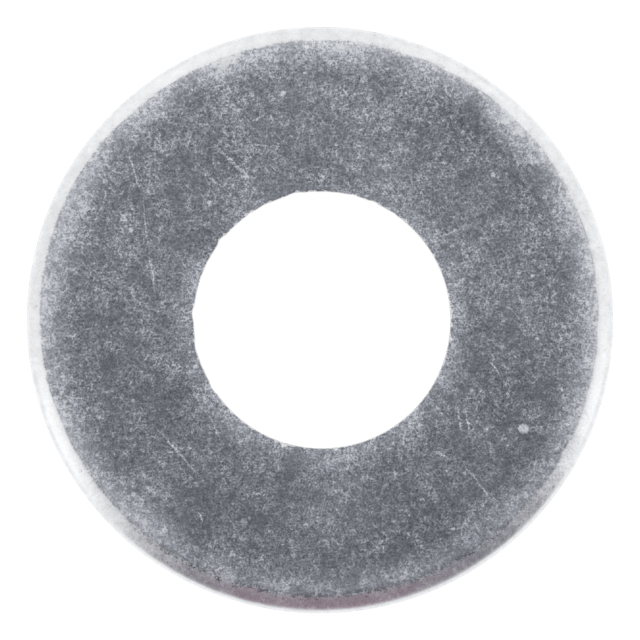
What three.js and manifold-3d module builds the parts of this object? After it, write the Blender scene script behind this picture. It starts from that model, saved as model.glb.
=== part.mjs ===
// A zinc-plated steel flat washer, stamped from sheet in a progressive die.
//
// Millimetres, +Z up. The origin is the centre of the rim, on the lower bearing face.
//
// Stamping leaves a different edge on each side of the sheet. The rim was blanked from one
// side, so its rounded die roll is on the upper face, and its broken zone is at the bottom.
// The hole was pierced from the other side, at the station before, so its roll is on the
// lower face and its broken zone opens towards the upper one. The two stations are never
// quite in line, so the hole lies a little off the centre of the rim.

import * as THREE from "three";
import { mergeVertices } from "three/addons/utils/BufferGeometryUtils.js";
import Module from "manifold-3d";

// driving dimensions: a wide-pattern washer for a 3/8 in bolt
const OUTER_DIAMETER = 25.4;
const HOLE_DIAMETER = 11.11;
const THICKNESS = 2.1;
const HOLE_OFFSET = 0.09; // how far the hole's axis lies from the rim's, towards +X

// the rim, from the upper face down
const RIM_ROLL_WIDTH = 0.66; // how far the die roll reaches in from the rim
const RIM_ROLL_DEPTH = 0.5; // how far it reaches down
const RIM_LAND_HEIGHT = 0.58; // the straight sheared land under the roll
const RIM_BREAK_TAPER = 0.09; // how far the broken zone falls back by the lower face

// the hole, from the lower face up
const HOLE_ROLL_WIDTH = 0.34;
const HOLE_ROLL_DEPTH = 0.24;
const HOLE_LAND_HEIGHT = 0.8;
const HOLE_BREAK_FLARE = 0.02; // how far the broken zone opens by the upper face

const EDGE_ROUND = 0.05; // the tumbled edges where the broken zones meet the faces

// fineness of the mesh
const TURN_STEPS = 96; // steps round the washer
const ROLL_STEPS = 6; // steps along each die roll
const ROUND_STEPS = 2; // steps along each tumbled edge

const CUTTER_REACH = 1; // how far the hole's cutter runs past each face

const OUTER_RADIUS = OUTER_DIAMETER / 2;
const HOLE_RADIUS = HOLE_DIAMETER / 2;

const wasm = await Module();
wasm.setup();

// A quarter of an ellipse about a centre, from one angle to another, as [radius, height] points.
function ellipseArc(centre, radii, fromAngle, toAngle, steps) {
  return Array.from({ length: steps + 1 }, (_, i) => {
    const angle = fromAngle + ((toAngle - fromAngle) * i) / steps;
    return [centre[0] + radii[0] * Math.cos(angle), centre[1] + radii[1] * Math.sin(angle)];
  });
}

// The blank's half section, from the axis at the lower face to the axis at the upper face.
function blankProfile() {
  const edgeRadius = OUTER_RADIUS - RIM_BREAK_TAPER;
  const rollStart = THICKNESS - RIM_ROLL_DEPTH;
  const lowerEdge = ellipseArc(
    [edgeRadius - EDGE_ROUND, EDGE_ROUND],
    [EDGE_ROUND, EDGE_ROUND],
    -Math.PI / 2,
    0,
    ROUND_STEPS,
  );
  const dieRoll = ellipseArc(
    [OUTER_RADIUS - RIM_ROLL_WIDTH, rollStart],
    [RIM_ROLL_WIDTH, RIM_ROLL_DEPTH],
    0,
    Math.PI / 2,
    ROLL_STEPS,
  );
  const landBottom = [OUTER_RADIUS, rollStart - RIM_LAND_HEIGHT];
  return [[0, 0], ...lowerEdge, landBottom, ...dieRoll, [0, THICKNESS]];
}

// The hole cutter's half section, from the axis below the washer to the axis above it.
function cutterProfile() {
  const breakRadius = HOLE_RADIUS + HOLE_BREAK_FLARE;
  const dieRoll = ellipseArc(
    [HOLE_RADIUS + HOLE_ROLL_WIDTH, HOLE_ROLL_DEPTH],
    [HOLE_ROLL_WIDTH, HOLE_ROLL_DEPTH],
    (3 * Math.PI) / 2,
    Math.PI,
    ROLL_STEPS,
  );
  const upperEdge = ellipseArc(
    [breakRadius + EDGE_ROUND, THICKNESS - EDGE_ROUND],
    [EDGE_ROUND, EDGE_ROUND],
    Math.PI,
    Math.PI / 2,
    ROUND_STEPS,
  );
  const below = -CUTTER_REACH;
  const above = THICKNESS + CUTTER_REACH;
  const landTop = [HOLE_RADIUS, HOLE_ROLL_DEPTH + HOLE_LAND_HEIGHT];
  return [
    [0, below],
    [dieRoll[0][0], below],
    ...dieRoll,
    landTop,
    ...upperEdge,
    [upperEdge.at(-1)[0], above],
    [0, above],
  ];
}

// A solid turned about the Z axis from a half section that starts and ends on that axis.
function turnedSolid(profile) {
  const points = profile.map(([radius, height]) => new THREE.Vector2(radius, height));
  const lathe = new THREE.LatheGeometry(points, TURN_STEPS);
  lathe.rotateX(Math.PI / 2);
  lathe.deleteAttribute("normal");
  lathe.deleteAttribute("uv");
  const merged = mergeVertices(lathe);
  const corners = merged.index.array;
  const triangles = [];
  for (let i = 0; i < corners.length; i += 3) {
    const [a, b, c] = [corners[i], corners[i + 1], corners[i + 2]];
    if (a !== b && b !== c && c !== a) triangles.push(a, b, c);
  }
  return new wasm.Manifold(
    new wasm.Mesh({
      numProp: 3,
      vertProperties: new Float32Array(merged.attributes.position.array),
      triVerts: new Uint32Array(triangles),
    }),
  );
}

// A closed mesh of a solid.
function solidGeometry(solid) {
  const mesh = solid.getMesh();
  const geometry = new THREE.BufferGeometry();
  geometry.setAttribute("position", new THREE.BufferAttribute(mesh.vertProperties, 3));
  geometry.setIndex(new THREE.BufferAttribute(mesh.triVerts, 1));
  geometry.computeVertexNormals();
  return geometry;
}

const blank = turnedSolid(blankProfile());
const cutter = turnedSolid(cutterProfile()).translate([HOLE_OFFSET, 0, 0]);

const zincPlate = new THREE.MeshStandardMaterial({
  color: 0x9a9da4,
  metalness: 0.9,
  roughness: 0.4,
  flatShading: true,
});

const washer = new THREE.Mesh(solidGeometry(blank.subtract(cutter)), zincPlate);
washer.name = "washer";

const part = new THREE.Group();
part.add(washer);

export default part;
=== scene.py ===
"""A zinc-plated flat washer, lying on a white light table and seen from straight above.

The washer is a stamping, and its mesh has what a press leaves on one: the rounded die roll at
the rim's upper edge, the bright sheared land under it, the torn break below that, and the same
three the other way up in the hole, which is pierced from the other side. Lengths in this script
are in millimetres until they reach a Blender object, which is in metres. North is +Y, at the top
of the picture, and east is +X.
"""

import math
from types import SimpleNamespace

import bpy
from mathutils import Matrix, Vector, noise


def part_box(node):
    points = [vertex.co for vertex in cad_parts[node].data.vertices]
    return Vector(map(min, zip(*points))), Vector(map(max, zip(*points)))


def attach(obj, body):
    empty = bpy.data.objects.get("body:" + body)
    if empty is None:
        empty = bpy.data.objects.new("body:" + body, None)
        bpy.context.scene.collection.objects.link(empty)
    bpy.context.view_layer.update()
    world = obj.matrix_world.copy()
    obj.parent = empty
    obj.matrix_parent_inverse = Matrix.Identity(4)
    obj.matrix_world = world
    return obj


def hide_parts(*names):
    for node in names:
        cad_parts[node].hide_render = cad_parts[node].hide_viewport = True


MM = 0.001
TAU = 2 * math.pi
QUARTER = math.pi / 2

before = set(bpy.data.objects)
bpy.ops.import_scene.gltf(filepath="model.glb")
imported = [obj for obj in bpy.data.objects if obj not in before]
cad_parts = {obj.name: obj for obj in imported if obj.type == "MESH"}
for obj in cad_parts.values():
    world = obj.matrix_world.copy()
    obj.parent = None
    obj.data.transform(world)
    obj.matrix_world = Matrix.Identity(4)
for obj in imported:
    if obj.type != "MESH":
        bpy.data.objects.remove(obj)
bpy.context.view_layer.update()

# the washer's own sizes, from the frame
low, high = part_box("washer")
OUTER_RADIUS = (high.x - low.x) / 2 / MM
THICKNESS = (high.z - low.z) / MM

# the hole, as the CAD part has it
HOLE_RADIUS = 11.11 / 2
HOLE_OFFSET = 0.09

# the rim, from the upper face down
CAMBER_WIDTH = 1.7  # the face starts to fall away this far inside the roll
CAMBER_SLOPE = 0.15  # and has this slope where the roll starts
ONSET_SLOPE = 0.36  # the roll starts with a break, this much steeper
RIM_ROLL_WIDTH = 0.66
RIM_ROLL_DEPTH = 0.50
NARROWING = 0.09  # the roll is narrower by this much on one side
NARROW_SIDE = math.radians(188)
RIM_LAND_BOTTOM = 1.02  # height at which the land gives way to the break
RIM_BREAK_TAPER = 0.09
LOWER_EDGE_ROUND = 0.06

# the hole, from the lower face up
HOLE_ROLL_WIDTH = 0.34
HOLE_ROLL_DEPTH = 0.24
HOLE_LAND_TOP = 1.04
HOLE_BREAK_FLARE = 0.012
HOLE_EDGE_DEPTH = 0.07  # the break's chipped upper edge
HOLE_CAMBER_WIDTH = 0.8
HOLE_CAMBER_SLOPE = 0.05

# torn and chipped metal
EDGE_RAGGED = 0.006  # how far the hole's upper edge is set back everywhere
CHIP_SIZE = 0.07  # and how much further where it is chipped
BITE_SIZE = 0.12  # how far the punch bit into the hole's wall
ROUGH_SIDE = math.radians(152)  # it bit most on this side
TEAR_DEPTH = 0.035  # of the tears in the rim's break

SKIN = 0.006  # the plated skin's small lumps stay inside the CAD solid by this much

# places that follow from these sizes
RIM = OUTER_RADIUS - SKIN
TOP = THICKNESS - SKIN
BOTTOM = SKIN
CAMBER_DROP = CAMBER_SLOPE * CAMBER_WIDTH / 3
HOLE_CAMBER_DROP = HOLE_CAMBER_SLOPE * HOLE_CAMBER_WIDTH / 3
LOWER_EDGE_RADIUS = RIM - RIM_BREAK_TAPER
LOWER_EDGE_TOP = BOTTOM + LOWER_EDGE_ROUND

# steps round the ring, and along each stretch of its outline: 195,840 triangles in all
ANGLE_STEPS = 720
UPPER_FACE_STEPS = 40
RIM_ROLL_STEPS = 20
RIM_LAND_STEPS = 7
RIM_BREAK_STEPS = 16
LOWER_EDGE_STEPS = 5
LOWER_FACE_STEPS = 18
HOLE_ROLL_STEPS = 9
HOLE_LAND_STEPS = 6
HOLE_BREAK_STEPS = 11
HOLE_EDGE_STEPS = 4

POLISHED = 1.0  # a value of "past_roll" for metal that the press has rolled or sheared bright
DULL = -1.0  # and one for metal as it was plated

DULL_ZINC = (0.45, 0.457, 0.481)
BURNISHED_ZINC = (0.865, 0.872, 0.885)
TORN_TONE = 0.5


def wobble(angle, lumps, seed):
    """A smooth value between about -1 and 1 that goes round the washer in about this many lumps."""
    reach = lumps / TAU
    return noise.noise(Vector((reach * math.cos(angle), reach * math.sin(angle), seed)))


def steps(count):
    """Even shares from 0 to 1, leaving off the last, which starts the next stretch."""
    return [i / count for i in range(count)]


def sizes_at(angle):
    """The sizes that waver round the ring, at one angle."""
    roll_width = RIM_ROLL_WIDTH - 0.07 * math.sin(angle)
    roll_width += 0.14 * wobble(angle, 7, 1.0) + 0.05 * wobble(angle, 70, 2.0)
    roll_width -= NARROWING * max(0.0, math.cos(angle - NARROW_SIDE)) ** 6
    chips = wobble(angle, 12, 8.0) + 2.8 * wobble(angle, 180, 9.0) - 0.25
    bites = wobble(angle, 55, 10.0) + 0.3 * math.cos(angle - ROUGH_SIDE) - 0.2
    return SimpleNamespace(
        roll_width=roll_width,
        roll_depth=RIM_ROLL_DEPTH + 0.04 * wobble(angle, 5, 3.0),
        land_bottom=RIM_LAND_BOTTOM + 0.12 * wobble(angle, 9, 4.0) + 0.12 * wobble(angle, 80, 5.0),
        hole_land_top=HOLE_LAND_TOP + 0.10 * wobble(angle, 6, 6.0) + 0.10 * wobble(angle, 60, 7.0),
        ragged=EDGE_RAGGED + CHIP_SIZE * max(0.0, chips) ** 1.5,
        hole=HOLE_RADIUS + BITE_SIZE * max(0.0, bites),
    )


# Each point of the outline is (hole share, radius, height, past roll, torn). Its hole share says
# how much of the hole's offset its centre has: 1 on the hole's wall and 0 on the rim. "Past roll"
# says how far it is past the line where the rim's roll starts, and "torn" is 1 on torn metal.


def upper_face(at):
    """The upper face, outwards. It falls away a little towards both edges."""
    face_start = at.hole + HOLE_BREAK_FLARE + at.ragged
    roll_start = RIM - at.roll_width
    points = []
    for t in steps(UPPER_FACE_STEPS):
        share = t * t * (3 - 2 * t)  # so its points are closer near both edges
        radius = face_start + share * (roll_start - face_start)
        near_roll = max(0.0, 1 - (roll_start - radius) / CAMBER_WIDTH)
        near_hole = max(0.0, 1 - (radius - face_start) / HOLE_CAMBER_WIDTH)
        drop = CAMBER_DROP * near_roll**3 + HOLE_CAMBER_DROP * near_hole**3
        points.append((1 - share, radius, TOP - drop, radius - roll_start, 0))
    return points


def rim_roll(at):
    """The rim's die roll: a quarter of an ellipse, without its first and flattest stretch."""
    skip = math.atan((CAMBER_SLOPE + ONSET_SLOPE) * at.roll_width / at.roll_depth)
    wide = at.roll_width / (1 - math.sin(skip))
    deep = (at.roll_depth - CAMBER_DROP) / math.cos(skip)
    roll_start = RIM - at.roll_width
    points = []
    for t in steps(RIM_ROLL_STEPS):
        turn = skip + t * (QUARTER - skip)
        radius = RIM - wide * (1 - math.sin(turn))
        height = TOP - at.roll_depth + deep * math.cos(turn)
        points.append((0, radius, height, radius - roll_start, 0))
    return points


def rim_wall(at):
    """The rim's wall, downwards: the land, the break, and the lower edge, which is tumbled dull."""
    land_top = TOP - at.roll_depth
    points = []
    for t in steps(RIM_LAND_STEPS):
        height = land_top + t * (at.land_bottom - land_top)
        points.append((0, RIM, height, POLISHED, 0))
    for t in steps(RIM_BREAK_STEPS):
        height = at.land_bottom + t * (LOWER_EDGE_TOP - at.land_bottom)
        points.append((0, RIM - RIM_BREAK_TAPER * t**0.7, height, DULL, 1))
    for t in steps(LOWER_EDGE_STEPS):
        radius = LOWER_EDGE_RADIUS - LOWER_EDGE_ROUND * (1 - math.cos(t * QUARTER))
        height = LOWER_EDGE_TOP - LOWER_EDGE_ROUND * math.sin(t * QUARTER)
        points.append((0, radius, height, DULL, 1))
    return points


def lower_face(at):
    """The lower face, inwards to the hole's roll."""
    start = LOWER_EDGE_RADIUS - LOWER_EDGE_ROUND
    end = at.hole + HOLE_ROLL_WIDTH
    return [(t, start + t * (end - start), BOTTOM, DULL, 0) for t in steps(LOWER_FACE_STEPS)]


def hole_wall(at):
    """The hole's wall, upwards: its roll, its land, its break, and the chipped edge of that."""
    break_top = TOP - HOLE_CAMBER_DROP - HOLE_EDGE_DEPTH
    points = []
    for t in steps(HOLE_ROLL_STEPS):
        radius = at.hole + HOLE_ROLL_WIDTH * (1 - math.sin(t * QUARTER))
        height = BOTTOM + HOLE_ROLL_DEPTH * (1 - math.cos(t * QUARTER))
        points.append((1, radius, height, POLISHED, 0))
    for t in steps(HOLE_LAND_STEPS):
        height = HOLE_ROLL_DEPTH + t * (at.hole_land_top - HOLE_ROLL_DEPTH)
        points.append((1, at.hole, height, POLISHED, 0))
    for t in steps(HOLE_BREAK_STEPS):
        height = at.hole_land_top + t * (break_top - at.hole_land_top)
        points.append((1, at.hole + HOLE_BREAK_FLARE * t**0.7, height, DULL, 1))
    for t in steps(HOLE_EDGE_STEPS):
        radius = at.hole + HOLE_BREAK_FLARE + at.ragged * t
        points.append((1, radius, break_top + HOLE_EDGE_DEPTH * t, POLISHED, 0))
    return points


def washer_outline(angle):
    """The ring's closed cross-section at one angle, from the hole's upper edge outwards."""
    at = sizes_at(angle)
    return upper_face(at) + rim_roll(at) + rim_wall(at) + lower_face(at) + hole_wall(at)


def build_washer():
    """The washer's mesh: one closed grid of four-sided faces, all round the ring."""
    verts, past_rolls, torns = [], [], []
    for i in range(ANGLE_STEPS):
        angle = TAU * i / ANGLE_STEPS
        outward = Vector((math.cos(angle), math.sin(angle), 0))
        for share, radius, height, past_roll, torn in washer_outline(angle):
            spot = outward * radius + Vector((HOLE_OFFSET * share, 0, height))
            if past_roll < 0 and not torn:
                spot.z += 0.8 * SKIN * noise.noise(spot)
            if torn and radius > OUTER_RADIUS - 2 * RIM_BREAK_TAPER:
                spot -= outward * TEAR_DEPTH * abs(noise.noise(spot * 3.0))
            verts.append(spot)
            past_rolls.append(past_roll)
            torns.append(torn)
    around = len(verts) // ANGLE_STEPS
    faces = []
    for i in range(ANGLE_STEPS):
        here, there = i * around, (i + 1) % ANGLE_STEPS * around
        for j in range(around):
            k = (j + 1) % around
            faces.append((here + j, here + k, there + k, there + j))

    mesh = bpy.data.meshes.new("washer")
    mesh.from_pydata([v * MM for v in verts], [], faces)
    for name, values in (("past_roll", past_rolls), ("torn", torns)):
        layer = mesh.attributes.new(name, "FLOAT", "POINT")
        layer.data.foreach_set("value", values)
    mesh.shade_smooth()
    mesh.update()
    washer = bpy.data.objects.new("stamped_washer", mesh)
    bpy.context.scene.collection.objects.link(washer)
    return washer


class Nodes:
    """A short way to write a node tree."""

    def __init__(self, tree):
        self.tree = tree
        tree.nodes.clear()

    def add(self, kind, inputs=None, output=0, **settings):
        """Makes a node, sets or links its inputs by name or number, and returns an output."""
        node = self.tree.nodes.new(kind)
        for name, value in settings.items():
            setattr(node, name, value)
        for name, value in (inputs or {}).items():
            if isinstance(value, bpy.types.NodeSocket):
                self.tree.links.new(value, node.inputs[name])
            else:
                node.inputs[name].default_value = value
        return node.outputs[output] if node.outputs else node

    def math(self, operation, *values):
        return self.add("ShaderNodeMath", dict(enumerate(values)), operation=operation)

    def weighted(self, base, *layers):
        """Adds (layer, weight) pairs to a base."""
        for layer, weight in layers:
            base = self.math("MULTIPLY_ADD", layer, weight, base)
        return base

    def vector(self, operation, *values):
        return self.add("ShaderNodeVectorMath", dict(enumerate(values)), operation=operation)

    def measure(self, operation, *values):
        """A vector operation that gives a number, such as a length."""
        inputs = dict(enumerate(values))
        return self.add("ShaderNodeVectorMath", inputs, output=1, operation=operation)

    def scale(self, vector, factor):
        return self.add("ShaderNodeVectorMath", {0: vector, "Scale": factor}, operation="SCALE")

    def mix(self, share, first, second):
        """Goes from the first colour to the second."""
        inputs = {"Factor": share, 6: first, 7: second}
        return self.add("ShaderNodeMix", inputs, output=2, data_type="RGBA")

    def remap(self, value, low, high, to_low=0.0, to_high=1.0, smooth=False):
        """Takes low..high to to_low..to_high, and holds it at the ends."""
        inputs = {"Value": value, 1: low, 2: high, 3: to_low, 4: to_high}
        kind = "SMOOTHSTEP" if smooth else "LINEAR"
        return self.add("ShaderNodeMapRange", inputs, interpolation_type=kind)

    def noise(self, vector, scale, detail=0.0, rough=0.5):
        inputs = {"Vector": vector, "Scale": scale, "Detail": detail, "Roughness": rough}
        return self.add("ShaderNodeTexNoise", inputs)

    def ramp(self, value, stops):
        """A colour ramp through (place, colour) stops."""
        node = self.tree.nodes.new("ShaderNodeValToRGB")
        self.tree.links.new(value, node.inputs[0])
        elements = node.color_ramp.elements
        while len(elements) < len(stops):
            elements.new(0.5)
        for element, (place, colour) in zip(elements, stops):
            element.position = place
            element.color = (*colour, 1)
        return node.outputs[0]


def grain(n, place, per_mm, detail=1.0, seed=0.0):
    """Cloudy noise with a mean of 0 and a spread of about 1."""
    shifted = n.vector("ADD", place, (seed, 2 * seed, seed))
    return n.math("MULTIPLY_ADD", n.noise(shifted, per_mm, detail, 0.6), 8.0, -4.0)


def curls(n, place, per_mm, width, seed):
    """Thin curling lines, where a cloudy noise crosses its middle value."""
    level = n.math("ABSOLUTE", grain(n, place, per_mm, 0.0, seed))
    return n.remap(level, width, 0.0, smooth=True)


def drawn_out(n, place, degrees, along, across, seed):
    """Cloudy noise drawn out in one direction, by its rates per millimetre along and across it."""
    turned = n.add(
        "ShaderNodeMapping",
        {"Vector": place, "Rotation": (0, 0, -math.radians(degrees))},
        vector_type="POINT",
    )
    return grain(n, n.vector("MULTIPLY", turned, (along, across, 1)), 1.0, 1.0, seed)


def fibres(n, place, seed):
    """Short fine scratches lying every way, with a mean of about 0."""
    level = drawn_out(n, place, 10, 2.4, 11.0, seed)
    for degrees in (70, 130):
        level = n.math("MAXIMUM", level, drawn_out(n, place, degrees, 2.4, 11.0, seed + degrees))
    return n.math("SUBTRACT", level, 0.85)


def streaks(n, place, degrees, seed):
    """Nearly parallel hairlines from handling, gathered in a few places."""
    lines = n.remap(drawn_out(n, place, degrees, 0.45, 11.0, seed), 0.9, 2.2)
    gathered = n.remap(grain(n, place, 0.45, 1.0, seed), 0.3, 1.5)
    return n.math("MULTIPLY", lines, gathered)


def spots(n, place, per_mm, radius, share, seed):
    """Small round lumps in the plating, in this share of its random cells."""
    cells = n.vector("ADD", place, (seed, seed, 0))
    voronoi = n.add(
        "ShaderNodeTexVoronoi",
        {"Vector": cells, "Scale": per_mm},
        voronoi_dimensions="2D",
    ).node
    chance = n.add("ShaderNodeSeparateColor", {0: voronoi.outputs["Color"]})
    size = n.math("MULTIPLY", n.remap(chance, 1 - share, 1.0, 0.4, 1.0), radius * per_mm)
    away = n.math("DIVIDE", voronoi.outputs["Distance"], size)
    picked = n.math("GREATER_THAN", chance, 1 - share)
    return n.math("MULTIPLY", n.remap(away, 1.0, 0.6, smooth=True), picked)


def mark(n, place, start, end, half_width):
    """One scratch, tapering towards its start and end, and full in the middle of its width."""
    start, end = Vector((*start, 0)), Vector((*end, 0))
    run = end - start
    reach = 0.62 * run.length + half_width
    any_height = 1000.0
    mapped = n.add(
        "ShaderNodeMapping",
        {
            "Vector": place,
            "Location": (start + end) / 2,
            "Rotation": (0, 0, math.atan2(run.y, run.x)),
            "Scale": (reach, half_width, any_height),
        },
        vector_type="TEXTURE",
    )
    return n.remap(n.measure("LENGTH", mapped), 1.0, 0.2, smooth=True)


def disc(n, place, centre, radius, core):
    """One round spot, full in this share of its radius."""
    away = n.measure("DISTANCE", place, Vector((*centre, 0)))
    return n.remap(away, radius, core * radius, smooth=True)


# the scratches that can be told apart on the upper face: from, to and half width
SCRATCHES = [
    ((-7.4, -4.3), (-5.1, -6.9), 0.045),
    ((-8.5, 7.9), (-7.7, 5.3), 0.035),
    ((-7.7, 5.4), (-7.4, 2.9), 0.035),
    ((-7.4, 3.0), (-7.1, 0.8), 0.03),
    ((-4.7, 7.7), (-2.8, 5.9), 0.05),
    ((-5.4, 6.6), (-4.2, 5.7), 0.045),
    ((-3.1, 7.6), (-1.5, 7.5), 0.03),
    ((-4.8, -4.1), (-4.2, -5.4), 0.04),
    ((-5.3, -8.2), (-5.0, -8.9), 0.035),
    ((5.9, -3.6), (6.2, -5.1), 0.035),
    ((6.2, -3.4), (6.5, -5.1), 0.035),
    ((5.0, -3.7), (5.4, -4.2), 0.04),
    ((4.9, -5.7), (5.5, -5.9), 0.05),
    ((6.2, -6.2), (7.5, -7.9), 0.045),
    ((7.3, -1.7), (7.8, -2.4), 0.035),
    ((-3.0, 8.5), (-2.4, 8.9), 0.04),
]

# and the lumps and flat spots: where, how far across, and how much lighter
LUMPS = [
    (8.8, -4.7, 0.48, 1.0), (8.5, -5.1, 0.2, 0.7), (-1.6, 9.8, 0.3, 0.7), (1.9, 10.4, 0.32, 0.6),
    (-9.3, 6.0, 0.26, 0.6), (-8.5, 4.4, 0.34, 0.6), (-8.2, 3.9, 0.24, 0.7), (-4.8, 5.1, 0.18, 0.7),
    (6.2, 8.1, 0.22, 0.6), (5.4, 6.8, 0.24, 0.6), (7.5, 6.3, 0.24, 0.6), (9.7, 5.3, 0.2, 0.45),
    (10.1, 4.7, 0.26, 0.45), (9.2, 1.9, 0.2, 0.6), (0.7, 7.6, 0.18, 0.7), (-8.1, -3.5, 0.2, 0.6),
    (-9.6, -4.2, 0.22, 0.6), (-3.8, -10.1, 0.26, 0.6), (-3.3, -8.7, 0.3, 0.6),
]

# broad patches that are more or less worn: where, how far across, and how much lighter
PATCHES = [
    (0.4, -8.2, 4.4, 0.22), (-7.4, -8.6, 4.0, 0.28), (-0.8, 10.2, 3.0, 0.2), (2.6, 6.5, 3.0, 0.22),
    (5.6, 1.4, 2.2, 0.14), (8.6, 0.6, 3.0, 0.16), (5.5, -2.0, 2.4, 0.2), (6.4, -7.3, 2.6, 0.1),
    (-7.0, 2.2, 3.0, 0.12), (6.2, 9.2, 5.0, -0.3), (9.6, 6.0, 3.4, -0.15), (8.0, -3.2, 2.6, -0.22),
    (-4.0, 7.2, 2.4, -0.22), (-6.0, -3.2, 2.8, -0.18), (4.6, -9.2, 3.6, -0.2), (10.0, -6.6, 3.6, -0.18),
    (0.0, 6.0, 2.2, -0.2), (-1.6, 12.2, 4.6, -0.25), (-3.2, -11.6, 3.0, -0.12), (1.6, 5.8, 1.4, -0.2),
    (-5.4, -10.6, 2.6, -0.25), (7.4, -9.4, 2.6, -0.12), (-5.8, 10.2, 3.4, -0.22), (8.0, 8.9, 1.8, 0.45),
    (1.2, -6.4, 3.0, 0.1), (6.2, 3.2, 2.4, 0.16), (-11.0, 2.4, 3.0, 0.1), (-4.6, 3.5, 2.0, -0.28),
    (-3.6, -4.6, 2.0, 0.16), (4.0, -4.4, 1.4, 0.14), (-8.9, 7.6, 3.6, -0.14), (-11.4, -3.0, 1.8, -0.22),
    (3.0, 10.9, 2.4, -0.16),
]


def base_layers(n):
    """What the material's layers start from: where a point of the washer is, and its grain."""
    at = SimpleNamespace()
    at.past_roll = n.add("ShaderNodeAttribute", attribute_name="past_roll", output=2)
    at.torn = n.add("ShaderNodeAttribute", attribute_name="torn", output=2)
    at.mm = n.scale(n.add("ShaderNodeTexCoord", output="Object"), 1 / MM)
    at.east, at.north, height = n.add("ShaderNodeSeparateXYZ", {0: at.mm}).node.outputs
    at.upper = n.math("GREATER_THAN", height, THICKNESS / 2)

    # how far in from the rim and out from the hole
    flat = n.vector("MULTIPLY", at.mm, (1, 1, 0))
    at.rim_gap = n.math("SUBTRACT", OUTER_RADIUS, n.measure("LENGTH", flat))
    from_hole = n.measure("DISTANCE", flat, (HOLE_OFFSET, 0, 0))
    at.hole_gap = n.math("SUBTRACT", from_hole, HOLE_RADIUS)

    # the two faces have different stretches of the same grain, from fine to broad
    at.spread = n.vector("ADD", at.mm, n.scale((37.0, 11.0, 0.0), at.upper))
    at.hairs = fibres(n, at.spread, 4.0)
    at.fine = grain(n, at.spread, 12.0, 1.0, 17.0)
    at.mottle = grain(n, at.spread, 4.5, 1.0, 5.0)
    at.blotches = grain(n, at.spread, 1.5, 2.0, 9.0)
    at.clouds = grain(n, at.spread, 0.4, 1.0, 13.0)
    at.speckle = n.math("ADD", at.fine, at.mottle)

    # the marks from handling aren't quite straight or round
    shaken = n.add("ShaderNodeTexNoise", {"Vector": at.mm, "Scale": 4.0}, output=1)
    jitter = n.scale(n.vector("SUBTRACT", shaken, (0.5, 0.5, 0.5)), 0.16)
    at.loose = n.vector("ADD", at.mm, jitter)
    at.nodules = spots(n, at.loose, 0.8, 0.12, 0.3, 2.9)

    # painted shade: a dark line along the start of the rim's roll, towards the south
    seam = n.remap(n.math("ABSOLUTE", at.past_roll), 0.3, 0.04, smooth=True)
    at.seam = n.math("MULTIPLY", seam, n.remap(at.north, -6.0, -10.5))
    return at


def handling_marks(n, at):
    """The scratches, and the lumps and patches together. Only the nodules are on both faces."""
    scratches = 0.0
    for start, end, half_width in SCRATCHES:
        scratch = mark(n, at.loose, start, end, 1.6 * half_width)
        scratches = n.math("MAXIMUM", scratches, scratch)

    flat_place = n.vector("MULTIPLY", at.loose, (1, 1, 0))
    lumps = 0.0
    for x, y, across, lighter in LUMPS:
        lump = disc(n, flat_place, (x, y), 0.55 * across, 0.6)
        lumps = n.math("MAXIMUM", lumps, n.math("MULTIPLY", lump, lighter))
    lumps = n.math("MULTIPLY", lumps, at.upper)
    lumps = n.math("MAXIMUM", lumps, n.math("MULTIPLY", at.nodules, 0.45))

    patches = 0.0
    for x, y, across, lighter in PATCHES:
        patch = disc(n, flat_place, (x, y), 0.7 * across, 0.0)
        patches = n.math("MULTIPLY_ADD", patch, lighter, patches)
    patches = n.math("MULTIPLY", patches, at.upper)
    return n.math("MULTIPLY", scratches, at.upper), n.math("ADD", lumps, patches)


def zinc_level(n, at):
    """How light the dull zinc is, as a power of e."""
    scratches, lumps_and_patches = handling_marks(n, at)
    wear = n.remap(at.rim_gap, 2.3, 0.7, smooth=True)
    hole_wear_and_shade = n.remap(at.hole_gap, 1.3, 0.1, smooth=True)

    # the grain is stronger in the blotches, and weaker where the rim is worn
    activity = n.weighted(1.0, (at.clouds, 0.1), (at.blotches, 0.16))
    activity = n.math("MULTIPLY", activity, n.remap(wear, 0.0, 1.0, 1.0, 0.75))
    level = n.weighted(at.fine, (at.hairs, 1.05), (at.mottle, 0.65))
    level = n.math("MULTIPLY", n.math("MULTIPLY", level, activity), 0.22)

    wisps = n.math("ADD", curls(n, at.spread, 1.3, 0.25, 21.0), curls(n, at.spread, 2.6, 0.3, 31.0))
    wisps = n.math("MULTIPLY", wisps, n.remap(at.blotches, -0.5, 1.5))
    return n.weighted(
        level,
        (at.blotches, 0.11),
        (at.clouds, 0.09),
        (wear, n.math("MULTIPLY_ADD", at.north, -0.005, 0.52)),
        # lighter near the hole as wear; less so to the north, which is painted shade on the hole's
        # north edge
        (hole_wear_and_shade, n.remap(at.north, -5.0, 5.0, 0.4, 0.2)),
        # painted light: the whole face is lighter towards the north
        (at.north, 0.012),
        (wisps, 0.22),
        (spots(n, at.loose, 2.6, 0.05, 0.22, 7.7), 0.4),
        (streaks(n, at.loose, -48, 3.0), 0.34),
        (streaks(n, at.loose, -78, 8.0), 0.34),
        (streaks(n, at.loose, 25, 15.0), 0.34),
        (scratches, n.math("MULTIPLY_ADD", at.fine, 0.2, 0.55)),
        (lumps_and_patches, 1.0),
        # painted shade along the start of the rim's roll, towards the south
        (at.seam, -0.3),
    )


def burnished_share(n, at):
    """0 on dull zinc and 1 on the roll, from a line worn soft to the east and ragged to the south."""
    softness = n.remap(n.math("MULTIPLY_ADD", at.north, 0.5, at.east), 8.0, 13.0)
    fray = n.remap(at.north, -7.0, -12.0, 0.02, 0.05)
    line = n.weighted(at.past_roll, (at.speckle, fray), (at.blotches, 0.02))
    starts = n.math("MULTIPLY_ADD", softness, -0.3, -0.06)
    ends = n.math("MULTIPLY_ADD", softness, 0.15, 0.08)
    return n.remap(line, starts, ends, smooth=True)


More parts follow.
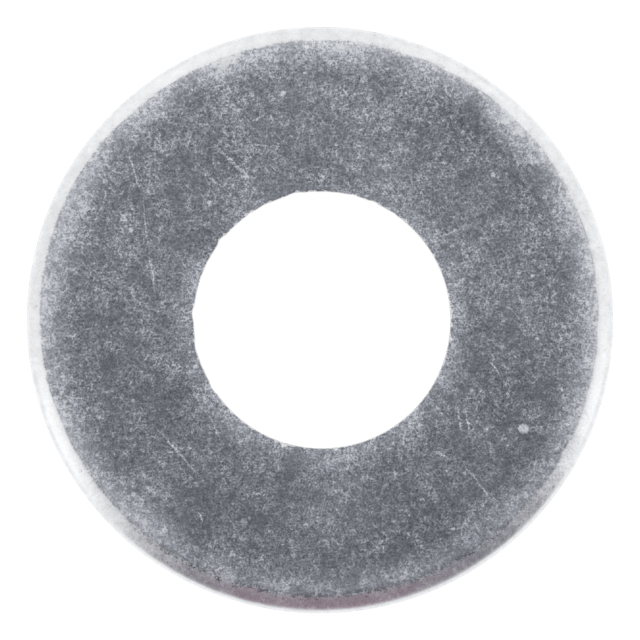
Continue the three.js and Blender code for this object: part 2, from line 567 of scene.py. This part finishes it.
def bright_tone(n, at, scores):
    """How light the burnished metal is. It has a few pits, most of them near the painted shade along
    the roll's start.
    """
    pits = n.remap(n.math("MULTIPLY_ADD", at.seam, -2.4, at.speckle), -2.6, -4.0)
    lip = n.remap(at.rim_gap, 0.07, 0.0)
    wall = n.math("GREATER_THAN", at.past_roll, 0.9 * POLISHED)
    scored = n.math("MULTIPLY", n.math("MULTIPLY_ADD", scores, 0.05, -0.14), wall)
    tone = n.weighted(1.0, (pits, -0.35), (at.fine, 0.02), (at.mottle, 0.025), (at.blotches, 0.035))
    return n.math("ADD", scored, n.math("MULTIPLY_ADD", lip, -0.14, tone))


def zinc_material():
    """Dull electroplated zinc: fine crystal grain, cloudy wear, and marks from handling, with painted
    light and shade in its colour: lighter towards the north, and darker along the roll's southern start
    and at the hole's north edge.
    """
    material = bpy.data.materials.new("zinc_plated_steel")
    material.use_nodes = True
    n = Nodes(material.node_tree)
    at = base_layers(n)
    level = zinc_level(n, at)

    # the press scores the walls from face to face
    scores = grain(n, n.vector("MULTIPLY", at.mm, (15.0, 15.0, 0.7)), 1.0, 1.0, 19.0)
    dull = n.scale(DULL_ZINC, n.math("EXPONENT", level))
    bright = n.scale(BURNISHED_ZINC, bright_tone(n, at, scores))
    torn_tone = n.math("MULTIPLY_ADD", n.math("ADD", at.fine, scores), 0.06, TORN_TONE)
    colour = n.mix(burnished_share(n, at), dull, bright)
    colour = n.mix(at.torn, colour, n.scale((1, 1, 1), torn_tone))

    roughness = n.weighted(0.22, (level, 0.14), (at.torn, 0.2))
    relief = n.weighted(0.0, (at.mottle, 0.0006), (at.blotches, 0.0008), (at.nodules, 0.004))
    bump = n.add("ShaderNodeBump", {"Strength": 1.0, "Distance": MM, "Height": relief})
    shader = n.add(
        "ShaderNodeBsdfPrincipled",
        {"Base Color": colour, "Metallic": 1.0, "Roughness": roughness, "Normal": bump},
    )
    n.add("ShaderNodeOutputMaterial", {"Surface": shader})
    return material


def build_floor():
    """A light table of glossy white acrylic, which glows so that the washer throws no halo."""
    half = 2.0
    mesh = bpy.data.meshes.new("floor")
    corners = [(-half, -half, 0), (half, -half, 0), (half, half, 0), (-half, half, 0)]
    mesh.from_pydata(corners, [], [(0, 1, 2, 3)])
    floor = bpy.data.objects.new("floor", mesh)
    bpy.context.scene.collection.objects.link(floor)
    material = bpy.data.materials.new("light_table")
    material.use_nodes = True
    n = Nodes(material.node_tree)
    glow = n.add("ShaderNodeEmission", {"Color": (1, 1, 1, 1), "Strength": 0.88})
    matt = n.add("ShaderNodeBsdfDiffuse", {"Color": (0.3, 0.3, 0.3, 1)})
    inside = n.add("ShaderNodeAddShader", {0: glow, 1: matt})
    gloss = n.add("ShaderNodeBsdfGlossy", {"Color": (1, 1, 1, 1), "Roughness": 0.12})
    fresnel = n.add("ShaderNodeFresnel", {"IOR": 1.45})
    surface = n.add("ShaderNodeMixShader", {0: fresnel, 1: inside, 2: gloss})
    n.add("ShaderNodeOutputMaterial", {"Surface": surface})
    mesh.materials.append(material)


def light_studio():
    """Soft light from white screens on three sides, with a grey ceiling and nothing in front."""
    world = bpy.data.worlds.new("studio")
    bpy.context.scene.world = world
    world.use_nodes = True
    n = Nodes(world.node_tree)
    way = n.add("ShaderNodeTexCoord", output="Generated")
    east, north, up = n.add("ShaderNodeSeparateXYZ", {0: way}).node.outputs
    bearing = n.math("MULTIPLY_ADD", n.math("ARCTAN2", north, east), 1 / TAU, 0.5)

    # the screens' brightness by bearing, in degrees anticlockwise from -X
    front = (0.27, 0.19, 0.23)
    dim = (0.20, 0.197, 0.23)
    screens = [
        (0, 0.85), (10, 0.92), (18, 1.3), (30, 1.3), (43, 0.98), (54, dim), (66, dim), (76, front),
        (106, front), (116, dim), (144, dim), (153, 1.35), (164, 1.25), (174, 1.08), (186, 0.9),
        (208, 0.93), (222, 0.97), (232, 1.12), (244, 1.02), (256, 0.9), (282, 0.93), (296, 1.08),
        (310, 1.06), (322, 0.93), (340, 0.9), (360, 0.85),
    ]
    stops = []
    for degrees, shade in screens:
        colour = shade if isinstance(shade, tuple) else (shade, shade, shade)
        stops.append((degrees / 360, colour))
    side = n.ramp(bearing, stops)

    # below them is a paler strip of wall
    low = n.remap(up, math.sin(math.radians(10)), math.sin(math.radians(38)), 1.0, 0.0, smooth=True)
    side = n.mix(low, side, (0.94, 0.95, 0.96, 1))

    # the ceiling over the camera is dim, and centred a little in front of the washer
    lean = math.radians(2)
    axis = (0.0, -math.sin(lean), math.cos(lean))
    away = n.math("ARCCOSINE", n.measure("DOT_PRODUCT", way, axis))
    rise = n.remap(away, math.radians(8), math.radians(34), smooth=True)
    sky = n.mix(rise, (0.38, 0.40, 0.435, 1), side)
    background = n.add("ShaderNodeBackground", {"Color": sky, "Strength": 1.0})
    n.add("ShaderNodeOutputWorld", {"Surface": background})


def place_camera():
    """Straight above, far enough away that only a sliver of the hole's wall shows."""
    distance = 700.0
    frame_width = 27.69
    camera_data = bpy.data.cameras.new("camera")
    camera_data.sensor_width = 36
    camera_data.lens = camera_data.sensor_width * distance / frame_width
    camera_data.clip_end = 10
    camera = bpy.data.objects.new("camera", camera_data)
    camera.location = Vector((0, 0, THICKNESS + distance)) * MM
    bpy.context.scene.collection.objects.link(camera)
    bpy.context.scene.camera = camera


bpy.context.scene.view_settings.view_transform = "Standard"
place_camera()
light_studio()
build_floor()

washer = build_washer()
washer.data.materials.append(zinc_material())
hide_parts("washer")
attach(washer, "root")
